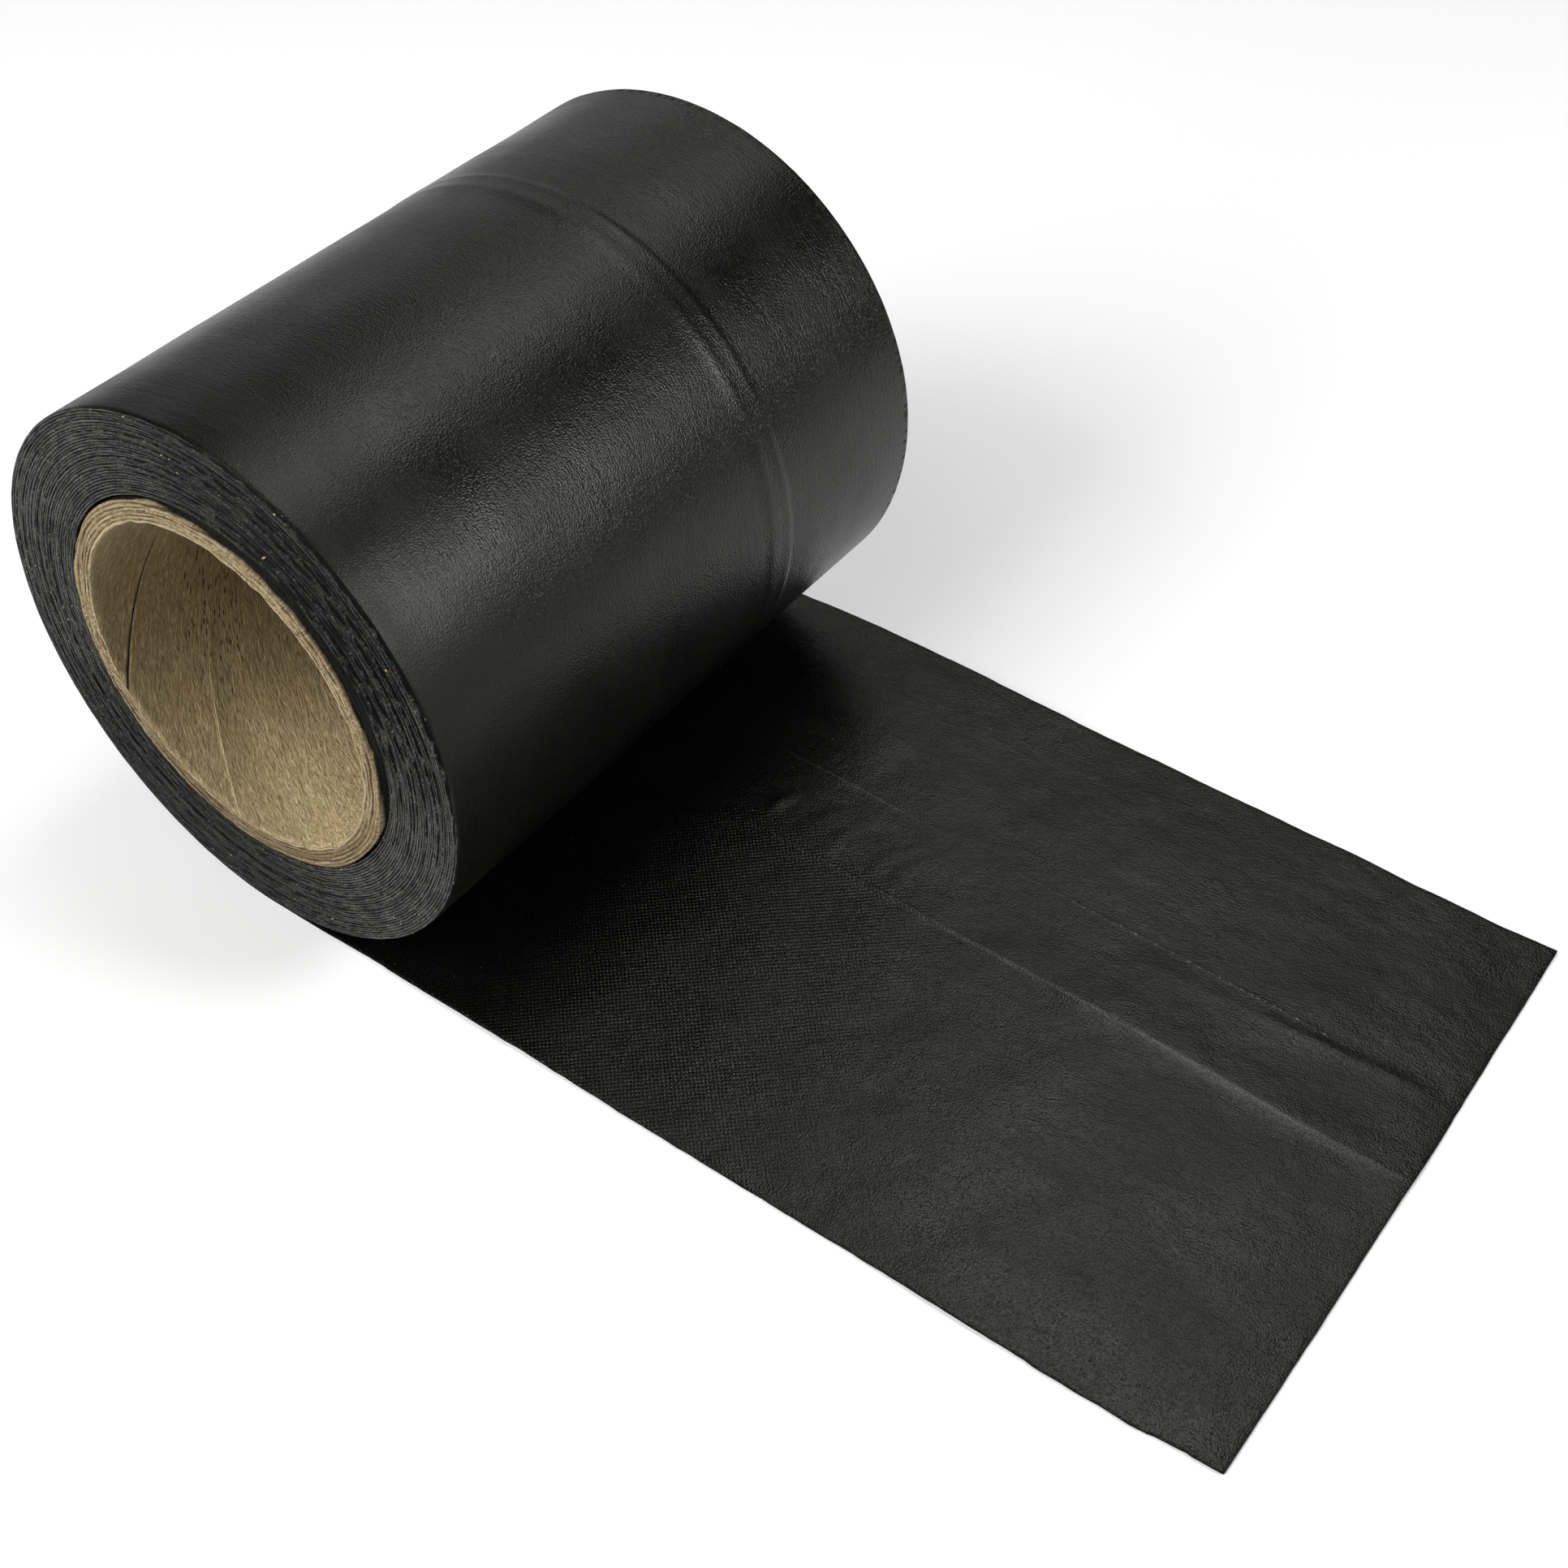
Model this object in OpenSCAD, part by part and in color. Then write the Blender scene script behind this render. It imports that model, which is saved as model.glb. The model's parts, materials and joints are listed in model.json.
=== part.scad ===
// Roll of flashing tape: black rubber sheet wound on a cardboard core, with its free end paid
// out flat on the floor and the roll resting on it.
// The origin is the centre of the core's bore. +Y runs along the core, +X is the way the free
// end runs, and +Z is up. All sizes are in millimetres.

/* [Core] */
// Inside diameter of the cardboard core
bore_d = 76.2; // [50:0.1:110]
// Wall thickness of the cardboard core
core_wall = 5.2; // [2:0.1:10]
// How far each end of the core stands out past the edge of the tape
core_proud = 1.7; // [0:0.1:5]
// Number of paper plies that the core's wall is wound from
plies = 6; // [1:1:12]
// Depth of the groove between two plies on the core's ends, and half its width
ply_groove = 0.1; // [0.05:0.01:0.15]

/* [Tape] */
// Width of the tape
tape_w = 152.4; // [50:0.1:320]
// Thickness of the tape
tape_t = 0.61; // [0.4:0.01:2]
// Chamfer along both edges of the tape
edge_chamfer = 0.12; // [0.05:0.01:0.18]
// Length of tape paid out, from below the core's axis to the cut end
tail_len = 234; // [100:1:600]

/* [Winding] */
// Number of whole turns under the last one
turns = 30; // [3:1:60]
// Radial play between the core and the first turn
core_play = 0.1; // [0.05:0.01:0.3]
// Furthest that a turn strays along the core from the last one
stray = 0.3; // [0.05:0.05:1]
// How deep the roll's weight presses it into the paid-out tape
press = 0.05; // [0.03:0.01:0.1]
// Least depth to which the last turn beds into the one below, more than its edge's chamfer
bed = 0.2; // [0.19:0.01:0.3]

/* [Hidden] */
$fn = 180;
bore_r = bore_d / 2;
core_r = bore_r + core_wall;
core_len = tape_w + 2 * core_proud;
coil_in_r = core_r + core_play;
// The last turn climbs by this much in one revolution, from the floor to its own top face
climb = tape_t - press;
// It beds into the turn below all the way round, so that turn is made as deep as it
last_turn_t = climb + 2 * bed;
coil_out_r = coil_in_r + (turns - 1) * tape_t + last_turn_t;
// It is two half circles. One falls at +X, with its centre a quarter of the climb above the
// axis. One rises at -X, with its centre as far below and a radius half a climb larger.
centre_lift = climb / 4;
falling_r = coil_out_r + bed + centre_lift;
rising_r = falling_r + climb / 2;

// Lays a solid that was turned about Z along +Y
module along_core() {
    rotate([-90, 0, 0])
        children();
}

// How far a turn lies from the middle of the core
function turn_shift(i) = stray * (sin(37 * i) + sin(101 * i)) / 2;

// Outer radius of a turn
function turn_r(i) = i == turns - 1 ? coil_out_r : coil_in_r + (i + 1) * tape_t;

// The edge of one turn at the end of the roll on side, from its inner face to its outer one
function turn_edge(i, side) =
    let (inner = coil_in_r + i * tape_t,
         outer = turn_r(i),
         y = side * tape_w / 2 + turn_shift(i),
         cut = side * edge_chamfer)
    [[inner, y - cut],
     [inner + edge_chamfer, y],
     [outer - edge_chamfer, y],
     [outer, y - cut]];

function reversed(list) = [for (i = [len(list) - 1 : -1 : 0]) list[i]];

// The wound turns, which show on the ends of the roll as ledges with a groove between them
module wound_turns() {
    far_end = [for (i = [0 : turns - 1]) each turn_edge(i, 1)];
    near_end = [for (i = [0 : turns - 1]) each turn_edge(i, -1)];
    along_core()
        rotate_extrude()
            polygon(concat(far_end, reversed(near_end)));
}

// Section across the tape, with its outer face at radius r
module tape_section(r, thickness) {
    half_w = tape_w / 2;
    inner = r - thickness;
    cut = edge_chamfer;
    polygon([
        [inner, cut - half_w],
        [inner + cut, -half_w],
        [r - cut, -half_w],
        [r, cut - half_w],
        [r, half_w - cut],
        [r - cut, half_w],
        [inner + cut, half_w],
        [inner, half_w - cut]
    ]);
}

// The last turn comes down to the nip in one half circle and rises from the floor in the other.
// From the floor the same section runs straight on as the paid-out end.
module last_turn() {
    translate([0, 0, centre_lift])
        along_core()
            rotate_extrude(angle = 180, start = -90)
                tape_section(falling_r, last_turn_t);
    translate([0, 0, -centre_lift]) {
        along_core()
            rotate_extrude(angle = 180, start = 90)
                tape_section(rising_r, last_turn_t);
        rotate([0, 90, 0])
            linear_extrude(tail_len)
                tape_section(rising_r, tape_t);
    }
}

module tape() {
    color([0.17, 0.17, 0.165])
        union() {
            wound_turns();
            last_turn();
        }
}

// The end of the core on side, from its bore to its outside, with a groove between the plies
function core_end(side) =
    let (ply_t = core_wall / plies,
         y = side * core_len / 2,
         floor_y = y - side * ply_groove)
    [[bore_r, y],
     for (i = [1 : 1 : plies - 1])
         let (r = bore_r + i * ply_t)
         each [[r - ply_groove, y], [r, floor_y], [r + ply_groove, y]],
     [core_r, y]];

module core() {
    color([0.68, 0.59, 0.43])
        along_core()
            rotate_extrude()
                polygon(concat(core_end(1), reversed(core_end(-1))));
}

tape();
core();
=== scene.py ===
"""Looks for the roll of flashing tape: a strip of black rubber sheet wound on a cardboard core.

Shapes are worked out in millimetres and made in metres. The roll's axis is Y, its free end runs
along +X on the floor, and angles round the roll go from +X up to +Z. The strip is one closed mesh:
a spiral on both ends of the roll, the outside of the last turn, and the free end it runs out to.
"""
import json
import math

import bpy
import bmesh
import numpy as np
from mathutils import Matrix, Vector


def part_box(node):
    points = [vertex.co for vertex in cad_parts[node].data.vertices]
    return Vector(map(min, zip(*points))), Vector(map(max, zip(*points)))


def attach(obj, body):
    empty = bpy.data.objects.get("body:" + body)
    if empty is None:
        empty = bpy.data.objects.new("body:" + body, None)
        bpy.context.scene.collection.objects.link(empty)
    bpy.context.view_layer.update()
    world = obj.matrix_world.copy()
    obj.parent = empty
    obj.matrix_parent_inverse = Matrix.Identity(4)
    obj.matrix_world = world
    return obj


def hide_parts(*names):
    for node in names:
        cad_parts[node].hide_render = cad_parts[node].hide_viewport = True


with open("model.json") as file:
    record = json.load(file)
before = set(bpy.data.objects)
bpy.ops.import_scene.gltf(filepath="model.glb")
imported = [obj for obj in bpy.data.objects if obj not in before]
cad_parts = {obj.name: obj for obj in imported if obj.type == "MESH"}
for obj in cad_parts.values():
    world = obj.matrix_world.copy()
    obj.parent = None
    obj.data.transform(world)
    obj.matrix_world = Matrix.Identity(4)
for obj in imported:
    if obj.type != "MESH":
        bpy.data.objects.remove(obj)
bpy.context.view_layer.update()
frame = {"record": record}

MM = 0.001
TAPE_LOW, TAPE_HIGH = (np.array(corner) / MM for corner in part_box("tape"))
CORE_LOW, CORE_HIGH = (np.array(corner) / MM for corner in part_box("core"))
MOUNTS = {mount["name"]: mount for mount in frame["record"]["mounts"]}

# The roll and the strip
FLOOR_Z = TAPE_LOW[2]
TAIL_END_X = TAPE_HIGH[0]
CORE_R = CORE_HIGH[2]
BORE_R = MOUNTS["core_bore"]["dims"]["r_mm"]
ROOM_Y = CORE_HIGH[1] - 0.03
SHEET = 0.61
TAPE_HALF = 76.2
TURNS = 31
STEPS = 192
LAST = TURNS * STEPS
COIL_IN_R = CORE_R + 0.1
CLIMB = 2 * (-FLOOR_Z - TAPE_HIGH[2])

# The outside of the roll lies this far inside the solid's, so that creases have room to rise
CREASE_ROOM = 0.28
EDGE_ROUND = 0.12

# The near end isn't square: it stands out furthest at this angle, by this much for each mm of radius
LEAN = 0.0166
LEAN_ANGLE = -39

# Places across the strip of the fold and the scored line that run along the free end
FOLD_Y = 4.3
SCORE_Y = 27.0

RUBBER_FACE, RUBBER_EDGE = 0, 1

# Where the lines between a crest and its grooves lie in the sheet's thickness, on each kind of edge
ROLL_EDGE_SHARES = np.array([0, 0.26, 0.74, 1.0])
CUT_EDGE_SHARES = np.array([0, 0.24, 0.76, 1.0])

# The rubber edges' uv across the sheet's thickness starts at these places, in mm
EDGE_UV_STEP = 3.0
ROLL_EDGE_UV = {-1: 0.0, 1: EDGE_UV_STEP}
FREE_EDGE_UV = 2 * EDGE_UV_STEP
CUT_END_UV = 3 * EDGE_UV_STEP

# The underside's uv across the strip is moved this far, and the first turn's inside is this long
UNDERSIDE_UV = 200
FIRST_LOOP = 275

# The core's uv round its axis starts at these places on its ends and its outside, in mm
NEAR_END_UV = 400.0
FAR_END_UV = 1200.0
OUTSIDE_UV = 2000.0

# Places between those, by which its material tells its parts apart, and a degree round its bore
ENDS_FROM_UV = 250.0
OUTSIDE_FROM_UV = 1500.0
BORE_DEGREE = 2 * math.pi * BORE_R / 360


# ---------- seeded shapes

def ripple(x, period, seed, terms=5):
    """A smooth wandering line of about -1 to 1, with waves of about that period."""
    rng = np.random.default_rng(seed)
    total = np.zeros(np.shape(x))
    for _ in range(terms):
        wave = period * rng.uniform(0.6, 1.7)
        total += np.sin(2 * math.pi * np.asarray(x) / wave + rng.uniform(0, 2 * math.pi))
    return total / math.sqrt(terms)


def ripple_2d(x, y, period, seed, terms=9):
    """A smooth wandering surface of about -1 to 1."""
    rng = np.random.default_rng(seed)
    total = np.zeros(np.broadcast(x, y).shape)
    for _ in range(terms):
        way = rng.uniform(0, 2 * math.pi)
        turn = 2 * math.pi / (period * rng.uniform(0.6, 1.7))
        total += np.sin((x * math.cos(way) + y * math.sin(way)) * turn
                               + rng.uniform(0, 2 * math.pi))
    return total / math.sqrt(terms)


def jagged(x, step, seed):
    """Seeded values of -1 to 1, one every step, joined by straight lines."""
    x = np.asarray(x, float)
    low = math.floor(x.min() / step)
    count = math.ceil(x.max() / step) - low + 2
    values = np.random.default_rng(seed).uniform(-1, 1, count)
    return np.interp(x / step - low, np.arange(count), values)


def smooth(x, start, end):
    """0 before start, 1 after end, and a smooth rise between."""
    part = np.clip((np.asarray(x, float) - start) / (end - start), 0, 1)
    return part * part * (3 - 2 * part)


def near_angle(angle, centre, reach):
    """1 at a centre angle, falling to 0 at reach away from it. All in degrees."""
    away = (np.asarray(angle) - centre + 180) % 360 - 180
    return 1 - smooth(np.abs(away), 0.35 * reach, reach)


def bead(offset, near, far):
    """A rounded ridge with its own width on its near and far sides."""
    return np.exp(-(offset / np.where(offset < 0, near, far)) ** 2)


def round_axis(radius, y, angle):
    """Points at those radii, sideways places and angles round the roll."""
    angle = np.radians(angle)
    return np.stack([radius * np.cos(angle), y, radius * np.sin(angle)], -1)


def lean(angle, radius):
    """Sideways place of the roll's ends, which aren't quite square to its axis."""
    return -LEAN * radius * np.cos(np.radians(angle - LEAN_ANGLE))


# ---------- mesh building

def add_object(name, data):
    """Puts a new object with that data in the scene."""
    made = bpy.data.objects.new(name, data)
    bpy.context.scene.collection.objects.link(made)
    return made


class MeshBuilder:
    """Collects blocks of points and strips of four-sided faces into one mesh."""

    def __init__(self):
        self.points, self.faces, self.corner_uvs, self.slots = [], [], [], []
        self.count = 0

    def add_points(self, points):
        """Adds points of shape (..., 3) and gives back their indices in the same shape."""
        points = np.asarray(points, float)
        indices = self.count + np.arange(points[..., 0].size).reshape(points.shape[:-1])
        self.points.append(points.reshape(-1, 3))
        self.count += indices.size
        return indices

    def add_grid(self, index, u, v, slot=0):
        """Faces between neighbours of a 2-D array of point indices, with the uv of each point."""
        uv = np.stack(np.broadcast_arrays(u, v), -1)
        corners = [np.s_[:-1, :-1], np.s_[1:, :-1], np.s_[1:, 1:], np.s_[:-1, 1:]]
        quads = np.stack([index[c] for c in corners], -1).reshape(-1, 4)
        quad_uvs = np.stack([uv[c] for c in corners], -2).reshape(-1, 4, 2)
        self.faces.append(quads)
        self.corner_uvs.append(quad_uvs)
        self.slots.append(np.full(len(quads), slot))

    def build(self, name, materials):
        """Makes the object, in metres, smooth shaded within each material, all faces outwards."""
        mesh = bpy.data.meshes.new(name)
        faces = np.concatenate(self.faces)
        mesh.from_pydata(np.concatenate(self.points) * MM, [], faces.tolist())
        layer = mesh.uv_layers.new(name="sheet")
        layer.data.foreach_set("uv", (np.concatenate(self.corner_uvs) * MM).ravel())
        mesh.polygons.foreach_set("material_index", np.concatenate(self.slots))
        mesh.polygons.foreach_set("use_smooth", np.ones(len(faces), bool))
        for material in materials:
            mesh.materials.append(material)
        work = bmesh.new()
        work.from_mesh(mesh)
        bmesh.ops.recalc_face_normals(work, faces=work.faces)
        for edge in work.edges:
            edge.smooth = len({face.material_index for face in edge.link_faces}) == 1
        work.to_mesh(mesh)
        work.free()
        return add_object(name, mesh)


# ---------- the tape

def turn_angle(turn):
    """Angle round the roll, in degrees, after that many turns. The strip starts at the floor."""
    return 360 * turn - 90


def strip_length(turn):
    """Length of strip, from its inner end, that is wound in so many turns."""
    return 2 * math.pi * (COIL_IN_R * turn + SHEET / 2 * turn ** 2)


def coil_radius(turn):
    """Radius of the line between turns, and of the edge of the roll's outside for the last turn."""
    nip_r = -FLOOR_Z - CLIMB
    wound = COIL_IN_R + (nip_r - COIL_IN_R) * turn / TURNS
    outside = nip_r + CLIMB * (turn - TURNS)
    radius = np.where(turn <= TURNS, wound, outside)
    angle = turn_angle(turn)
    off_floor = 1 - near_angle(angle, -90, 55)
    share = (turn / (TURNS + 1)) ** 1.5
    loose = 0.13 * ripple(angle + 4 * turn, 170, 5) * np.sin(math.pi * share)
    return radius - (CREASE_ROOM + EDGE_ROUND) * off_floor * share + loose * off_floor


def edge_stray(turn, side):
    """How far the strip's edge has slipped sideways at each turn. Less than zero is nearer."""
    angle = turn_angle(turn)
    wander = 0.1 * ripple(turn, 4.3, 11) + 0.05 * ripple(turn, 0.9, 12)
    wander += 0.03 * ripple(turn, 0.23, 13) + 0.02 * ripple(turn, 0.071, 14)
    groups = 0.46 * np.sin(2 * math.pi * turn / 5.6 + 4.6) * near_angle(angle, 42, 58)
    groups += 0.15 * np.sin(2 * math.pi * turn / 2.3 + 0.4) * near_angle(angle, 50, 80)
    shy = 0.9 * np.exp(-(turn / 2.6) ** 2) * near_angle(angle, 22, 78) * (side < 0)
    settled = 1 - 0.8 * smooth(turn, TURNS - 0.7, TURNS)
    return lean(angle, COIL_IN_R + SHEET * turn) + (wander + groups) * settled + shy


def groove_depth(turn, seed):
    """Depth of the gap beside a turn's edge."""
    angle = turn_angle(turn)
    shallow = 0.1 + 0.16 * smooth(ripple(turn, 0.31, seed), -0.5, 1.2)
    upper = 0.38 * near_angle(angle, 48, 58) * smooth(ripple(turn, 1.3, seed + 1), -0.4, 1.1)
    left = 0.85 * near_angle(angle, 160, 85) * smooth(ripple(turn, 1.1, seed + 2), 1.0, 1.6)
    beside_core = 0.7 * np.exp(-((turn - 1.8) / 1.4) ** 2) * near_angle(angle, 25, 75)
    return shallow + upper + left + beside_core


def roll_relief(angle, y):
    """Height of the crease band and soft waves on the outside of the roll."""
    drift = 0.5 * np.sin(np.radians(angle * 1.3 + 20))
    off_floor = 1 - near_angle(angle, -90, 60)
    strength = smooth(angle, -65, -20) * (1 - 0.75 * smooth(angle, 108, 145)) * off_floor
    uneven = 0.78 + 0.22 * np.cos(np.radians(angle * 4.2 + 40))
    band = smooth(y, 20.6 + drift, 24.3 + drift) * (1 - smooth(y, 28.7 + drift, 31.3 + drift))
    ribs = 0.08 * bead(y - 24.6 - drift, 1.3, 1.0) + 0.09 * uneven * bead(y - 29.4 - drift, 1.0, 0.8)
    faint = 0.03 * bead(y - 47.5, 0.8, 0.8) + 0.02 * bead(y - 41, 1.2, 0.9)
    waves = 0.06 * ripple_2d(angle * 0.9, y, 46, 21) + 0.022 * ripple_2d(angle, y * 0.35, 11, 22)
    height = (0.215 * uneven * band + 1.15 * ribs + faint) * strength + (waves - 0.03) * off_floor
    return np.clip(height, -0.3, CREASE_ROOM - 0.02)


def free_end_lift(x, y):
    """How far the free end is sprung up off the floor beyond the roll, mostly at its far edge."""
    rise = smooth(x, 14, 62) * (1 - smooth(x, 74, 132))
    return rise * (0.25 + 1.35 * smooth(y, -20, 72))


def free_end_relief(x, column, y):
    """Height of the fold, the scored line, cross waves and soft waves on the free end."""
    fold = column - FOLD_Y + 0.22 * ripple(x, 21, 34)
    fading = 1 - 0.75 * smooth(x, 208, 231)
    swell = 0.07 * smooth(x, 60, 84) + 0.2 * smooth(x, 84, 130) + 0.28 * smooth(x, 130, 188)
    foot = 0.55 + 0.3 * smooth(x, 100, 135) + 1.1 * smooth(x, 135, 190) * (1 - smooth(x, 205, 229))
    height = bead(fold, foot, 8.5) * swell * fading
    dotted = 0.6 + 0.4 * jagged(x, 0.9, 33)
    scored = smooth(x, 48, 75) * (1 - smooth(x, 196, 212))
    height += 0.05 * bead(column - SCORE_Y, 0.24, 0.6) * dotted * scored
    crease = y - 21.8 - 0.062 * (x - 190)
    ending = 1 - smooth(x, 218, 231)
    height += 0.1 * bead(crease, 2.6, 2.4) * smooth(x, 148, 180) * ending
    height += 0.18 * bead(crease, 2.0, 1.3) * smooth(x, 178, 204) * ending
    between = smooth(column, 4.6, 9.2) * (1 - smooth(column, 15.5, 21.5))
    bent = x + 1.6 * ripple(y, 17, 35)
    cross = 0.32 * bead(bent - 73.2, 1.4, 1.8) * bead(column - 12.5, 3.0, 4.5)
    for place, size, width in ((91.2, 0.1, 0.9), (102.6, 0.15, 1.5), (108.6, 0.1, 1.4), (84.0, 0.07, 1.8)):
        cross += size * bead(bent - place, width, width * 1.2)
    waves = 0.22 * ripple_2d(x, y, 82, 31) + 0.085 * ripple_2d(x, y, 27, 32) + 0.14
    return np.clip(height + between * cross + waves * smooth(x, 45, 95), 0, 2)


def spread(spans):
    """Evenly spaced places from each span's start up to, and without, its end."""
    return [np.linspace(start, end, count, endpoint=False) for start, end, count in spans]


def width_columns():
    """Places across the strip, closer together at the creases and the edges."""
    middle = spread([(-73.0, 2.0, 31), (5.6, 20.0, 9), (20.0, 26.4, 11), (27.6, 32.4, 11),
                     (32.4, 73.0, 17)])
    fold = FOLD_Y + np.array([-2.3, -1.6, -1.0, -0.6, -0.35, -0.15, 0.0, 0.15, 0.35, 0.7])
    score = SCORE_Y + np.array([-0.5, -0.28, -0.13, 0.0, 0.13, 0.28, 0.5])
    rims = np.array([75.95, 75.5, 74.6, 73.3])
    middle = [middle[0], fold, *middle[1:3], score, *middle[3:]]
    return np.concatenate([[-TAPE_HALF], -rims, *middle, rims[::-1], [TAPE_HALF]])


def edge_rows(turn, side):
    """Sideways place and radius of the crest and groove lines on one end of the roll."""
    layers = turn[: LAST + 1]
    radius = coil_radius(turn)
    thick = radius[STEPS:] - radius[:-STEPS]
    rough = 0.05 * jagged(strip_length(layers), 2.3, 41 + side)
    crest_y = side * TAPE_HALF + edge_stray(layers, side) + rough
    crest_y = np.clip(crest_y, -ROOM_Y, ROOM_Y)
    tilt = 0.06 * ripple(layers, 1.7, 43 + side)
    inner, outer = (np.stack([radius[:-STEPS] + share * thick, np.clip(y, -ROOM_Y, ROOM_Y)], -1)
                    for share, y in zip(ROLL_EDGE_SHARES[1:3], (crest_y + tilt, crest_y - tilt)))
    below = np.concatenate([np.full(STEPS, np.nan), crest_y])
    above = np.concatenate([crest_y, np.full(STEPS, np.nan)])
    pick = np.fmax if side < 0 else np.fmin
    groove_y = pick(below, above) - side * groove_depth(turn, 45 + side)
    groove_y[LAST:] = below[LAST:] - side * EDGE_ROUND
    return np.stack([radius, groove_y], -1), inner, outer


# Sideways places of the free end's near and far cut edges, by the distance along it
NEAR_EDGE = ((0, -76.7), (32, -76.25), (46, -76.45), (72, -76.3), (104, -76.45), (135, -76.25),
             (162, -76.05), (180, -76.45), (200, -76.15), (215, -76.0), (222, -75.4), (234, -74.55))
FAR_EDGE = ((0, 75.8), (50, 76.25), (185, 76.25), (200, 75.65), (212, 75.2), (221, 75.2), (234, 75.75))


def free_edge(x, side, start):
    """Sideways place of one cut edge of the free end: slightly ragged and drawn in at the cut."""
    places, values = zip(*(NEAR_EDGE if side < 0 else FAR_EDGE))
    drawn = np.interp(x, places, values)
    ragged = 0.07 * jagged(x, 1.9, 51 + side) + 0.09 * jagged(x, 5.1, 53 + side)
    steps = 0.12 * np.sign(jagged(x, 7.0, 55 + side)) * smooth(x, 150, 200) * (side < 0)
    free = smooth(x, 2, 30)
    return start * (1 - free) + (drawn + ragged + steps) * free


def make_tape(materials):
    """The whole strip as one closed mesh."""
    build = MeshBuilder()
    turn = np.arange((TURNS + 1) * STEPS + 1) / STEPS
    layers = turn[: LAST + 1]
    along = strip_length(layers)
    # For each end: the points of its groove, inner and outer lines, and the groove's sideways places
    ends = {}
    for side in (-1, 1):
        rows = edge_rows(turn, side)
        places = (turn, layers, layers)
        ends[side] = [build.add_points(round_axis(row[:, 0], row[:, 1], turn_angle(place)))
                      for place, row in zip(places, rows)]
        ends[side].append(rows[0][:, 1])
        groove, inner, outer = ends[side][:3]
        index = np.stack([groove[: LAST + 1], inner, outer, groove[STEPS:]])
        across = ROLL_EDGE_SHARES[:, None] * SHEET + ROLL_EDGE_UV[side]
        build.add_grid(index, along[None], across, RUBBER_EDGE)

    add_bore_wall(build, ends)
    nip_row, floor_row = add_outside(build, ends, turn)
    add_free_end(build, ends, nip_row, floor_row)
    return build.build("tape_strip", materials)


def add_bore_wall(build, ends):
    """The inside of the first turn, and the strip's own inner end."""
    index = np.stack([np.concatenate([groove[: STEPS + 1], outer[:1], inner[:1], groove[:1]])
                      for groove, inner, outer, _ in (ends[-1], ends[1])])
    along = np.linspace(0, FIRST_LOOP, index.shape[1])[None]
    build.add_grid(index, along, [[-TAPE_HALF], [TAPE_HALF]], RUBBER_FACE)


def add_outside(build, ends, turn):
    """The outside of the last turn. Gives back its first and last rows of points."""
    columns = width_columns()
    outer_turn = turn[LAST:]
    radius = coil_radius(outer_turn)
    near_y, far_y = ends[-1][3][LAST:], ends[1][3][LAST:]
    share = ((columns + TAPE_HALF) / (2 * TAPE_HALF))[None, 1:-1]
    y = near_y[:, None] * (1 - share) + far_y[:, None] * share
    angle = turn_angle(outer_turn - TURNS)[:, None]
    rounding = 0.5 * EDGE_ROUND * np.exp(-(TAPE_HALF - np.abs(columns[None, 1:-1])) / 0.5)
    on_floor = near_angle(angle, -90, 30)
    r = radius[:, None] + roll_relief(angle, y) + EDGE_ROUND * (1 - on_floor) - rounding
    inside = round_axis(r, y, turn_angle(outer_turn)[:, None])
    rims = [ends[side][0][LAST:, None] for side in (-1, 1)]
    index = np.concatenate([rims[0], build.add_points(inside), rims[1]], 1)
    along = strip_length(outer_turn - 1)[:, None]
    build.add_grid(index, along, columns[None], RUBBER_FACE)
    return index[0], index[-1]


def free_end_stations():
    """Places along the free end, close together near the nip, the cross waves and the cut."""
    return np.concatenate(spread([(1.5, 12, 6), (12, 66, 27), (66, 80, 18), (80, 112, 30),
                                  (112, 200, 50), (200, 232, 26)]) + [[232.0, 232.7, 233.1]])


def cut_end_bow(y):
    """How far the cut at the free end stands out along its width."""
    bow = 0.25 * bead(y - 11, 9, 8) - 0.45 * (y / 75) ** 2
    return bow + 0.05 * jagged(y, 1.7, 61) + 0.05 * jagged(y, 5.3, 62)


def free_end_points(starts, columns, x):
    """Points of the free end's top and underside, by place along it and by column across it."""
    near, far = (free_edge(x, side, start)[:, None] for side, start in zip((-1, 1), starts))
    share = (columns + TAPE_HALF) / (2 * TAPE_HALF)
    wander = -2.5 * np.clip((x - 40) / 185, 0, None) ** 2
    pull = np.interp(columns, (-TAPE_HALF, FOLD_Y, SCORE_Y, TAPE_HALF), (0, 1, 0.62, 0))
    y = near * (1 - share) + far * share + wander[:, None] * pull
    end_x = x[:, None] + (0.6 + cut_end_bow(y[-1])[None]) * smooth(x, 205, 233)[:, None]
    end_x = np.minimum(end_x, TAIL_END_X - 0.08)
    relief = free_end_relief(end_x, columns[None], y) + free_end_lift(end_x, y)
    rounding = 0.1 * np.exp(-(TAPE_HALF - np.abs(columns)) / 0.25)[None]
    cut_round = 0.1 * smooth(x, 232.4, 233.1)[:, None]
    top_z = FLOOR_Z + SHEET + relief - np.maximum(rounding, cut_round)
    low_z = FLOOR_Z + np.maximum(relief - 0.06, 0)
    return np.stack([end_x, y, top_z], -1), np.stack([end_x, y, low_z], -1)


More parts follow.
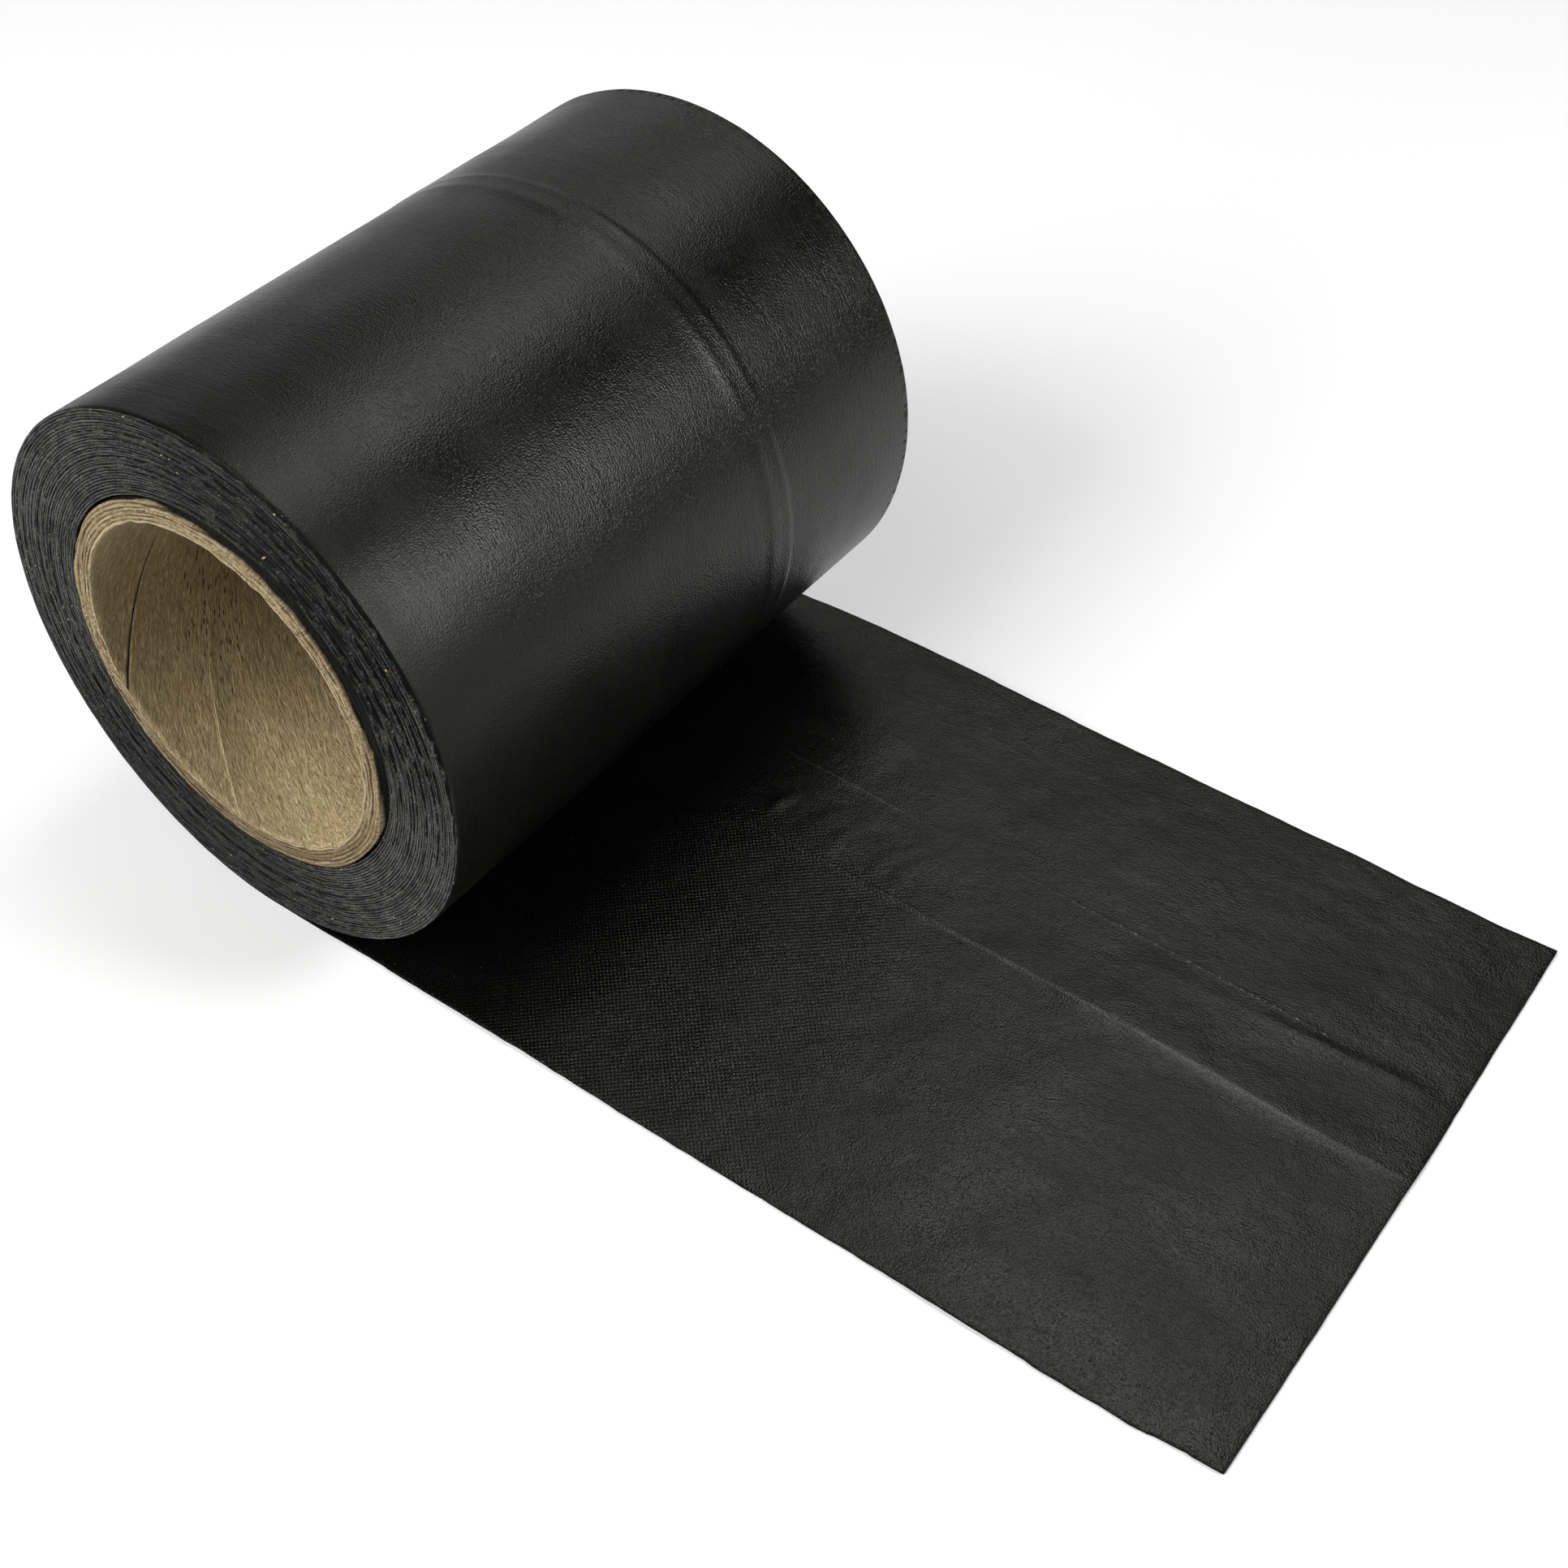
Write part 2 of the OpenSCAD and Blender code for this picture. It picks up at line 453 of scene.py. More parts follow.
def add_free_end(build, ends, nip_row, floor_row):
    """The free end: its top, underside, two cut edges and cut end."""
    columns = width_columns()
    x = free_end_stations()
    top_points, low_points = free_end_points([ends[side][3][LAST] for side in (-1, 1)], columns, x)
    top = np.concatenate([nip_row[None], build.add_points(top_points)])
    low = np.concatenate([floor_row[None], build.add_points(low_points)])
    along = (strip_length(TURNS) + np.concatenate([[0], x]))[:, None]
    build.add_grid(top, along, columns[None], RUBBER_FACE)
    build.add_grid(low, along, columns[None] + UNDERSIDE_UV, RUBBER_FACE)
    across = CUT_EDGE_SHARES[:, None] * SHEET
    corners = []
    for column, side in ((0, -1), (-1, 1)):
        upper = build.add_points(top_points[:, column] + [0, side * 0.07, -0.1])
        lower = build.add_points(low_points[:, column] + [0, side * 0.07, 0.12])
        upper = np.concatenate([ends[side][1][LAST:], upper])
        lower = np.concatenate([ends[side][2][LAST:], lower])
        index = np.stack([top[:, column], upper, lower, low[:, column]])
        build.add_grid(index, along.T, across + FREE_EDGE_UV, RUBBER_EDGE)
        corners.append((upper[-1:], lower[-1:]))
    upper = build.add_points(top_points[-1, 1:-1] + [0.05, 0, -0.12])
    lower = build.add_points(low_points[-1, 1:-1] + [0.05, 0, 0.1])
    upper = np.concatenate([corners[0][0], upper, corners[1][0]])
    lower = np.concatenate([corners[0][1], lower, corners[1][1]])
    index = np.stack([top[-1], upper, lower, low[-1]])
    build.add_grid(index, columns[None], across + CUT_END_UV, RUBBER_EDGE)


# ---------- the core

CORE_STEPS = 360
HELIX_STEPS = 368
WALL_ROWS = 128
CORE_LENGTH = CORE_HIGH[1] - CORE_LOW[1]
CORE_PROUD = 1.0
SEAM_ANGLE = -152
SECOND_SEAM_ANGLE = -96
PLIES = 6

# The near end's outer plies are sunk towards this angle, and as far as this from it, and are painted black
# there as shade. They are sunk over this width and to this depth at most.
SUNK_ANGLE = 45
SUNK_REACH = 76
SUNK_WIDTH = 2.3
SUNK_DEPTH = 1.3

# Seeds of the two ends' own wear
END_SEEDS = {-1: 81, 1: 83}


def ply_edges():
    """Radii of the joints between the plies."""
    return np.linspace(BORE_R, CORE_R, PLIES + 1)[1:-1]


def core_end(angle, radius, side):
    """Sideways place of one end of the core: plies with ragged edges and a lifted inner rim."""
    seed = END_SEEDS[side]
    edges = ply_edges() + 0.16 * ripple(angle[..., None], 37, seed + 2)
    ply = (radius[..., None] > edges).sum(-1)
    depth = 0.24 + 0.15 * np.sin(ply * 2.4 + 1.0) + 0.1 * ripple_2d(angle * 0.7, radius * 9, 9, seed)
    depth += 0.1 * jagged(angle + ply * 77.0, 1.1, seed + 1)
    gap = np.abs(radius[..., None] - edges).min(-1)
    ragged = smooth(ripple(angle + 40 * ply, 26, seed + 3), -0.7, 0.9)
    depth += 0.36 * np.exp(-(gap / 0.12) ** 2) * ragged
    depth += 0.3 * smooth(radius, CORE_R - 0.8, CORE_R)
    depth -= 0.2 * bead(radius - BORE_R - 0.4, 0.35, 0.4)
    depth = np.clip(depth, 0, None)
    if side < 0:
        sunk_from = CORE_R - SUNK_WIDTH * near_angle(angle, SUNK_ANGLE, SUNK_REACH)
        past = radius - sunk_from + 0.15 * ripple(angle, 23, seed + 7)
        depth += SUNK_DEPTH * smooth(past, 0.0, 0.6)
        place = -TAPE_HALF - CORE_PROUD + lean(angle, radius) + depth
        return np.maximum(place, -ROOM_Y)
    return ROOM_Y - depth


def wall_relief(column, depth):
    """How far the inside wall stands in from the bore: a seam gap, a lapped seam and soft waves."""
    degrees = column - (column >= 180) * 360
    relief = 0.02 * ripple_2d(column * 0.66, depth, 14, 71)
    relief = relief - 0.5 * np.exp(-(degrees / 0.36) ** 2) + 0.05 * np.exp(-(np.abs(degrees) / 2.5) ** 2)
    lap = (column - (SECOND_SEAM_ANGLE - SEAM_ANGLE)) % 360
    lap = lap - (lap >= 180) * 360
    return relief + 0.13 * bead(lap, 0.6, 3.0)


def wall_points(angles, depth):
    """Points of the inside wall. Its columns follow the helix of the plies from end to end."""
    near_rim, far_rim = (core_end(angles, np.full(CORE_STEPS, BORE_R), side) for side in (-1, 1))
    share = depth / CORE_LENGTH
    y = near_rim * (1 - share) + np.roll(far_rim, HELIX_STEPS) * share
    ragged = 0.06 * jagged(angles, 1.3, 85) * np.exp(-depth / 0.5)
    nick = tears(angles) * np.exp(-depth / 1.0)
    bowed = np.clip(0.18 * ripple(angles, 95, 87) * np.exp(-depth / 6), 0, 1)
    radius = BORE_R - wall_relief(angles - SEAM_ANGLE, depth) + ragged + nick + bowed
    return round_axis(radius, y, angles - HELIX_STEPS * share)


def closed(index):
    """Rows of point indices with each row's first point again at its end."""
    return np.concatenate([index, index[:, :1]], 1)


def make_core(material):
    """The cardboard tube, with its inside wall laid out along the winding of its plies."""
    build = MeshBuilder()
    angles = SEAM_ANGLE + np.arange(CORE_STEPS + 1.0)
    radii = np.linspace(BORE_R, CORE_R, 31)
    depth = np.linspace(0, CORE_LENGTH, WALL_ROWS + 1)[:, None]
    wall = build.add_points(wall_points(angles[:-1], depth))
    build.add_grid(closed(wall), angles[None] * BORE_DEGREE, depth)
    near_ring = add_core_end(build, wall[0], angles, radii, -1)
    far_ring = np.roll(wall[-1], -HELIX_STEPS)
    far_ring = add_core_end(build, far_ring, angles, radii, 1)
    arc = angles[None] * (2 * math.pi * CORE_R / 360) + OUTSIDE_UV
    build.add_grid(np.stack([near_ring, far_ring]), arc, [[0.0], [CORE_LENGTH]])
    return build.build("core_tube", [material])


def tears(angle):
    """Small torn nicks on the near end's inner rim."""
    nicks = 0
    for place, size in ((-64, 0.75), (-57, 0.3), (-47, 0.65), (-43, 0.35), (118, 0.3), (150, 0.25)):
        nicks += size * near_angle(angle, place, 3.2)
    return nicks


def add_core_end(build, inner_ring, angles, radii, side):
    """One end ring of the core, out from the wall's own end points. Gives back the outer ring."""
    seed = END_SEEDS[side]
    grid_angle, grid_radius = np.meshgrid(angles[:-1], radii[1:])
    y = core_end(grid_angle, grid_radius, side)
    wander = 0.06 * ripple_2d(grid_angle, grid_radius * 6, 17, seed + 4) * (grid_radius < CORE_R - 0.2)
    inner_nick = tears(grid_angle) * np.exp(-(grid_radius - BORE_R) / 0.8) * (side < 0)
    worn = 0.14 + 0.12 * ripple(grid_angle, 29, seed + 5) + 0.07 * jagged(grid_angle, 1.7, seed + 6)
    worn = np.clip(worn, 0, 1) * smooth(grid_radius, CORE_R - 0.9, CORE_R)
    r = np.minimum(grid_radius + wander + inner_nick, CORE_R) - worn
    rings = build.add_points(round_axis(r, y, grid_angle))
    index = closed(np.concatenate([inner_ring[None], rings]))
    arc = angles[None] * BORE_DEGREE + (NEAR_END_UV if side < 0 else FAR_END_UV)
    build.add_grid(index, arc, radii[:, None])
    return index[-1]


# ---------- materials

class Nodes:
    """A small way to write a tree of nodes. Values may be numbers or sockets."""

    def __init__(self, tree):
        self.tree = tree

    def put(self, target, value):
        if hasattr(value, "is_linked"):
            self.tree.links.new(value, target)
        elif target.type == "RGBA" and len(value) == 3:
            target.default_value = (*value, 1)
        else:
            target.default_value = value

    def node(self, kind, values=(), **settings):
        made = self.tree.nodes.new(kind)
        for name, value in settings.items():
            setattr(made, name, value)
        for key, value in dict(values).items():
            self.put(made.inputs[key], value)
        return made

    def uv(self):
        return self.node("ShaderNodeUVMap", uv_map="sheet").outputs["UV"]

    def position(self):
        return self.node("ShaderNodeTexCoord").outputs["Object"]

    def split_mm(self, vector):
        """The parts of a vector, in millimetres."""
        scaled = self.vector("MULTIPLY", vector, (1 / MM, 1 / MM, 1 / MM))
        return self.node("ShaderNodeSeparateXYZ", {0: scaled}).outputs[:3]

    def math(self, operation, *values):
        made = self.node("ShaderNodeMath", dict(enumerate(values)), operation=operation)
        return made.outputs[0]

    def chain(self, operation, total, *values):
        for value in values:
            total = self.math(operation, total, value)
        return total

    def add(self, *values):
        return self.chain("ADD", *values)

    def times(self, *values):
        return self.chain("MULTIPLY", *values)

    def minus(self, first, second):
        return self.math("SUBTRACT", first, second)

    def vector(self, operation, *values):
        made = self.node("ShaderNodeVectorMath", dict(enumerate(values)), operation=operation)
        return made.outputs[0]

    def stretched(self, vector, along, across, through=1.0, offset=(0, 0, 0)):
        """Coordinates in which one unit is so many millimetres in each direction."""
        scale = (1 / (along * MM), 1 / (across * MM), 1 / (through * MM))
        return self.vector("MULTIPLY_ADD", vector, scale, offset)

    def turned(self, vector, degrees):
        """Coordinates turned in their own plane."""
        return self.node("ShaderNodeVectorRotate", {"Vector": vector, "Angle": math.radians(degrees)},
                         rotation_type="Z_AXIS").outputs[0]

    def noise(self, vector, along, across, offset=(0, 0, 0), through=1.0, detail=2.0, roughness=0.5):
        """Soft noise of about 0 to 1, of so many millimetres in each direction."""
        place = self.stretched(vector, along, across, through, offset)
        return self.node("ShaderNodeTexNoise", {"Vector": place, "Scale": 1.0, "Detail": detail,
                         "Roughness": roughness}).outputs["Fac"]

    def lines(self, vector, period, distortion=0.0, reach=3.0):
        """Wavy lines across Y, with a period and a size of their whorls in units of the vector."""
        return self.node("ShaderNodeTexWave", {"Vector": vector, "Scale": 0.314 / period,
                         "Distortion": distortion, "Detail": 1.0, "Detail Scale": 1 / reach},
                         wave_type="BANDS", bands_direction="Y").outputs["Fac"]

    def specks(self, vector, share, start, end):
        """Small spots in a share of the cells of a vector's unit grid."""
        cells = self.node("ShaderNodeTexVoronoi", {"Vector": vector, "Scale": 1.0},
                          voronoi_dimensions="2D").outputs
        chance = self.node("ShaderNodeSeparateColor", {0: cells["Color"]}).outputs[0]
        chosen = self.math("LESS_THAN", chance, share)
        return self.times(self.rise(cells["Distance"], end, start), chosen)

    def warp(self, vector, size, amount, seed):
        """Coordinates pushed about by soft noise of a size, both in millimetres."""
        place = self.stretched(vector, size, size, size, (seed, seed, seed))
        noise = self.node("ShaderNodeTexNoise", {"Vector": place, "Scale": 1.0, "Detail": 1.0})
        centred = self.vector("SUBTRACT", noise.outputs["Color"], (0.5, 0.5, 0.5))
        reach = amount * MM * 2
        return self.vector("MULTIPLY_ADD", centred, (reach, reach, reach), vector)

    def rise(self, value, start, end, low=0.0, high=1.0):
        """Smooth step from low to high as value goes from start to end."""
        return self.node("ShaderNodeMapRange", {"Value": value, "From Min": start, "From Max": end,
                         "To Min": low, "To Max": high}, interpolation_type="SMOOTHSTEP").outputs["Result"]

    def hump(self, value, centre, reach):
        """1 at a centre, falling smoothly to 0 at reach on both sides."""
        away = self.math("ABSOLUTE", self.minus(value, centre))
        return self.rise(away, reach, 0.0)

    def blend(self, share, first, second):
        """A colour between two."""
        return self.node("ShaderNodeMix", {0: share, 6: first, 7: second}, data_type="RGBA").outputs[2]

    def paint(self, tone, *coats):
        """A colour with coats over it, each a share and its own colour."""
        for share, colour in coats:
            tone = self.blend(share, tone, colour)
        return tone

    def bump(self, height):
        """Relief from a height in millimetres."""
        return self.node("ShaderNodeBump", {"Height": height, "Distance": MM}).outputs["Normal"]


class Shader(Nodes):
    """The nodes of a material with one surface shader. Sockets are named with _ for each space."""

    def __init__(self, name, roughness=0.5, **sockets):
        self.material = bpy.data.materials.new(name)
        self.material.use_nodes = True
        super().__init__(self.material.node_tree)
        self.surface = self.tree.nodes["Principled BSDF"]
        self.finish(Roughness=roughness, **sockets)

    def finish(self, **sockets):
        for socket, value in sockets.items():
            self.put(self.surface.inputs[socket.replace("_", " ")], value)
        return self.material


# The sheet's uv runs along the whole strip, and its free end starts here
FREE_END_START = strip_length(TURNS)

PIT_BLACK = (0.0002, 0.0002, 0.0002)
RUBBER_DARK = (0.0023, 0.0024, 0.0021)
RUBBER_LIGHT = (0.0039, 0.0040, 0.0034)
DUST_GREY = (0.029, 0.029, 0.027)
# The next two greys are painted highlights on the fold, and the two after them are painted highlights on
# the scored line
FOLD_HIGHLIGHT_GREY = (0.029, 0.029, 0.028)
FOLD_SLOPE_HIGHLIGHT_GREY = (0.042, 0.042, 0.039)
SCORE_START_HIGHLIGHT_GREY = (0.143, 0.143, 0.134)
SCORE_HIGHLIGHT_GREY = (0.154, 0.154, 0.143)
FRAYED_TAN = (0.250, 0.196, 0.113)


def rubber_face():
    """Black rubber sheet with a fine leathery grain, softer towards the roll's near end."""
    s = Shader("rubber_face", Specular_IOR_Level=0.295, Specular_Tint=(1.0, 1.0, 0.93, 1.0))
    sheet = s.uv()
    along, across, _ = s.split_mm(sheet)
    out = s.minus(along, FREE_END_START)
    on_roll = s.rise(out, 12.0, -12.0)
    leather = s.warp(sheet, 5.0, 1.2, 3.0)
    grain = s.noise(sheet, 0.42, 0.36, detail=0.6)
    strokes = s.noise(s.turned(leather, -10), 1.9, 0.5, (0, 5, 0), detail=0.5)
    combed = s.noise(sheet, 60, 1.3, (0, 5, 0), detail=2.5, roughness=0.6)
    broad = s.noise(sheet, 30, 20, (3, 3, 0), detail=3)
    crisp = s.math("MAXIMUM", s.rise(across, -76.0, -34.0, 0.5, 1.0), s.minus(1.0, on_roll))
    # The fold's line: a painted highlight goes here, and the surface is smoother here
    crease = s.times(s.hump(across, FOLD_Y - 0.45, 0.8), s.rise(out, 84, 140), s.rise(out, 233, 205),
                     s.rise(grain, 0.35, 0.6, 0.4, 1.0))
    rim_marks = s.times(s.rise(across, 74.0, 75.2), on_roll,
                        s.rise(s.noise(sheet, 1.5, 40, detail=1), 0.5, 0.6))

    height = s.times(leather_height(s, sheet, leather, grain, strokes), crisp)
    height = s.add(height, sheet_height(s, sheet, across, out, on_roll, combed))
    tone = rubber_tone(s, sheet, broad)
    tone = line_highlights_and_fray(s, tone, sheet, across, out, crease, strokes)
    rough = s.add(s.rise(broad, 0.3, 0.7, 0.265, 0.365), s.times(s.minus(combed, 0.5), 0.08))
    rough = s.add(rough, s.times(s.minus(grain, 0.5), 0.2), s.times(rim_marks, 0.4),
                  s.times(crease, -0.1), s.times(s.minus(1.0, crisp), 0.18))
    return s.finish(Base_Color=tone, Roughness=rough, Normal=s.bump(height))


def leather_height(s, sheet, leather, grain, strokes):
    """Height of the grain: faint whorls in patches, fine grain, pebbles and short strokes."""
    whorls = s.lines(s.stretched(s.turned(leather, 14), 1, 1), 0.66, distortion=5.0, reach=3.4)
    patches = s.rise(s.noise(sheet, 17, 12, (7, 2, 0)), 0.38, 0.62, 0.1, 1.0)
    pebbles = s.noise(leather, 1.3, 0.9, (2, 8, 0), detail=1)
    return s.add(s.times(whorls, patches, 0.006), s.times(grain, 0.105), s.times(pebbles, 0.034),
                 s.times(strokes, 0.056))


def sheet_height(s, sheet, across, out, on_roll, combed):
    """Height of the dents, the lines combed round the roll, the woven print and the fold's beads."""
    dents = s.times(s.noise(sheet, 10.0, 8.0, (6, 1, 0)),
                    s.rise(out, 20.0, 70.0, 0.1, 0.34))
    off_middle = s.math("ABSOLUTE", s.minus(across, 8.0))
    comb_place = s.times(on_roll, s.rise(off_middle, 20.0, 60.0, 0.25, 1.0))
    weave = s.times(s.lines(s.stretched(s.turned(sheet, 47), 1, 1), 0.8, 1.4, 5),
                    s.lines(s.stretched(s.turned(sheet, -43), 1, 1), 0.95, 1.4, 5))
    weave_place = s.times(s.hump(out, 84.0, 70.0), s.rise(across, 22.0, -8.0))
    beads = s.times(s.hump(across, FOLD_Y - 0.2, 0.9), s.hump(out, 98, 40),
                    s.noise(s.turned(sheet, 35), 0.5, 1.4, detail=1))
    return s.add(dents, s.times(combed, comb_place, 0.06), s.times(weave, weave_place, 0.1),
                 s.times(beads, 0.2))


def rubber_tone(s, sheet, broad):
    """Colour of the clean sheet: black, a little greyer in broad patches, with pits and dust."""
    pits = s.rise(s.noise(sheet, 0.4, 0.38, (8, 8, 0), detail=0.8), 0.36, 0.66)
    dust = s.specks(s.stretched(sheet, 3.1, 3.1), 0.1, 0.05, 0.1)
    tone = s.blend(pits, PIT_BLACK, s.blend(broad, RUBBER_DARK, RUBBER_LIGHT))
    return s.blend(s.times(dust, 0.5), tone, DUST_GREY)


def line_highlights_and_fray(s, tone, sheet, across, out, crease, strokes):
    """Colour with painted highlights along the free end's scored line and fold, as pale lines and a pale
    slope, and the roll's frayed far rim.
    """
    score_line = s.hump(across, SCORE_Y, 0.26)
    score_start_highlight = s.times(score_line, s.hump(out, 84, 34), 0.22)
    score = s.times(score_line, s.rise(out, 112, 150), s.rise(out, 214, 194),
                    s.rise(s.noise(sheet, 1.3, 1.0, detail=1), 0.53, 0.64))
    bent = s.times(s.hump(across, FOLD_Y - 1.0, 2.0), s.hump(out, 193.0, 50.0),
                   s.rise(strokes, 0.3, 0.6, 0.5, 1.0))
    frayed = s.times(s.rise(across, 74.6, 75.8), s.hump(out, -325.0, 30.0),
                     s.rise(s.noise(sheet, 1.4, 0.8, (4, 4, 0)), 0.5, 0.62))
    # Painted highlights: pale greys on the scored line and on the fold's line and slope stand in for their
    # glints
    return s.paint(tone, (score_start_highlight, SCORE_START_HIGHLIGHT_GREY), (s.times(score, 0.9), SCORE_HIGHLIGHT_GREY),
                   (s.times(crease, 0.8), FOLD_HIGHLIGHT_GREY), (s.times(bent, 0.8), FOLD_SLOPE_HIGHLIGHT_GREY),
                   (frayed, FRAYED_TAN))


EDGE_DARK = (0.0009, 0.0010, 0.0010)
EDGE_GREY = (0.031, 0.031, 0.030)
EDGE_DUST_AND_SHEEN = (0.079, 0.080, 0.076)
CREST_GREY = (0.101, 0.101, 0.098)
FLECK_GREY = (0.147, 0.147, 0.140)
DENT_BLACK = (0.0006, 0.0006, 0.0006)
GAP_SHADE_BLACK = (0.0004, 0.0004, 0.0004)
SPECK_TAN = (0.393, 0.297, 0.161)

# Angles on the near end: the line along which its edges show palest with dust and a painted sheen, and the
# middle of its bands of painted shade
DUST_AND_SHEEN_ANGLE = -25
SHADE_BAND_ANGLE = 38


def rubber_edge():
    """The slit edge of the sheet: a light crest along each turn, painted shade in the gap beside each turn
    and in bands, dust with a painted sheen, and tan specks.
    """
    s = Shader("rubber_edge", roughness=0.62, Specular_IOR_Level=0.1, Specular_Tint=(1.0, 1.0, 0.95, 1.0))
    sheet = s.uv()
    _, across, _ = s.split_mm(sheet)
    level = s.math("WRAP", across, EDGE_UV_STEP, 0.0)
    on_roll_end = s.rise(across, FREE_EDGE_UV - 0.2, FREE_EDGE_UV - 0.6)
    radius, dust_and_sheen_share, upper = edge_places(s)
    runs = s.noise(sheet, 12, 900, (0, 3, 0), detail=3)
    lengths = s.noise(sheet, 5, 900, (7, 1, 0), detail=3)
    fine = s.noise(sheet, 0.55, 0.26, (5, 1, 0), detail=1.5, roughness=0.6)
    crest_place = s.add(0.3, s.times(s.minus(lengths, 0.5), 0.5))
    wandering = s.node("ShaderNodeCombineXYZ", {1: s.add(radius, s.times(runs, 3.0))}).outputs[0]
    bands = s.lines(wandering, 3.1, 1.5, 6)

    # The crest lines and flecks are palest along the line of dust and painted sheen, so they are partly a
    # painted sheen
    crest = s.times(s.hump(level, crest_place, 0.15), s.rise(runs, 0.42, 0.6),
                    s.rise(dust_and_sheen_share, 0.0, 0.8, 0.35, 1.0), on_roll_end)
    flecks = s.times(s.rise(fine, 0.56, 0.72, 0.0, 0.85), s.rise(dust_and_sheen_share, 0.0, 0.6, 0.5, 1.0),
                     on_roll_end)
    # Painted shade: black in the grooves between turns, and in bands on the near end's upper right
    from_gap = s.math("ABSOLUTE", s.minus(level, SHEET / 2))
    gap = s.rise(s.minus(from_gap, s.rise(lengths, 0.38, 0.62, 0.24, 0.06)), 0.0, 0.08)
    tone = s.paint(edge_dust_and_sheen(s, sheet, dust_and_sheen_share, on_roll_end),
                   (s.times(crest, 0.9), CREST_GREY), (flecks, FLECK_GREY),
                   (s.rise(fine, 0.46, 0.34, 0.0, 0.9), DENT_BLACK), (gap, GAP_SHADE_BLACK),
                   (s.times(upper, s.rise(bands, 0.55, 0.85, 0.0, 0.95)), GAP_SHADE_BLACK))
    tone = edge_specks(s, tone, sheet, dust_and_sheen_share)
    tone = s.blend(s.math("MAXIMUM", on_roll_end, 0.25), DENT_BLACK, tone)
    height = s.add(s.times(s.noise(sheet, 1.1, 0.3, detail=1), 0.2), s.times(fine, 0.12),
                   s.times(s.hump(level, crest_place, 0.3), 0.08), s.times(bands, upper, 0.3))
    return s.finish(Base_Color=tone, Normal=s.bump(height))


def edge_places(s):
    """The distance from the axis in mm, and the shares of dust with painted sheen and of painted shade
    bands there.
    """
    east, _, upward = s.split_mm(s.position())

    def towards(angle):
        turned = math.radians(angle)
        return s.add(s.times(east, math.cos(turned)), s.times(upward, math.sin(turned)))

    spread = s.math("MAXIMUM", s.add(s.times(east, east), s.times(upward, upward)), 1.0)
    radius = s.math("SQRT", spread)
    dust_and_sheen_way = towards(DUST_AND_SHEEN_ANGLE)
    dust_and_sheen_share = s.math("DIVIDE", s.times(dust_and_sheen_way, dust_and_sheen_way), spread)
    upper = s.rise(s.math("DIVIDE", towards(SHADE_BAND_ANGLE), radius), 0.62, 0.97)
    return radius, dust_and_sheen_share, upper


def edge_dust_and_sheen(s, sheet, dust_and_sheen_share, on_roll_end):
    """Colour of the cut edges before their marks: streaked, with dust and a painted sheen on two sides of
    the roll.
    """
    streaks = s.noise(sheet, 2.6, 0.24, roughness=0.7)
    cloud = s.noise(s.position(), 8, 200, (4, 9, 1), through=8, detail=3)
    # Dust and a painted sheen: the edges are paler towards that line
    dust_and_sheen = s.times(s.rise(dust_and_sheen_share, 0.1, 1.0, 0.1, 1.0), s.rise(cloud, 0.3, 0.66, 0.4, 1.2),
                    on_roll_end)
    tone = s.blend(s.rise(streaks, 0.34, 0.68), EDGE_DARK, EDGE_GREY)
    return s.blend(s.times(dust_and_sheen, s.rise(streaks, 0.36, 0.66, 0.25, 1.0)), tone, EDGE_DUST_AND_SHEEN)


def edge_specks(s, tone, sheet, dust_and_sheen_share):
    """Colour with specks of tan cardboard dust, thicker in some places."""
    place = s.noise(s.position(), 15, 200, (3, 0, 6), through=15, detail=1)
    share = s.times(s.rise(place, 0.47, 0.64, 0.001, 0.02), s.rise(dust_and_sheen_share, 0.1, 0.7, 0.25, 1.0))
    return s.blend(s.specks(s.stretched(sheet, 1.1, 0.26), share, 0.16, 0.36), tone, SPECK_TAN)


KRAFT_DARK = (0.198, 0.146, 0.075)
KRAFT_MIDDLE = (0.330, 0.258, 0.146)
FIBRE_LIGHT = (0.476, 0.396, 0.258)
FIBRE_DARK = (0.122, 0.086, 0.041)
CURL_BROWN = (0.132, 0.096, 0.044)
CRUMPLE_LIGHT = (0.411, 0.337, 0.210)
CRUMPLE_DARK = (0.143, 0.104, 0.052)
CLOUD_BROWN = (0.172, 0.129, 0.066)
LAP_LIGHT = (0.489, 0.417, 0.271)
# Black of painted shade in the open seam
SEAM_SHADE_BLACK = (0.0027, 0.0023, 0.0020)
SOIL_GREY = (0.0143, 0.0152, 0.0187)
STRAY_SPOT = (0.033, 0.029, 0.027)
# Browns of painted shade on the near end's lower side
LOW_SIDE_SHADE_BROWN = (0.125, 0.090, 0.047)
SHADE_BAND_BROWN = (0.116, 0.084, 0.043)
JOINT_BROWN = (0.054, 0.037, 0.0187)
RIDGE_LIGHT = (0.437, 0.357, 0.218)
RIM_LIGHT = (0.463, 0.384, 0.245)
# Black of painted shade on the sunk plies and the hidden outside
SUNK_SHADE_BLACK = (0.0036, 0.0036, 0.0031)

# Angle on the near end at which its lower side has painted shade, as a darker band outside the inmost
# plies
LOW_SIDE_SHADE_ANGLE = -85.7


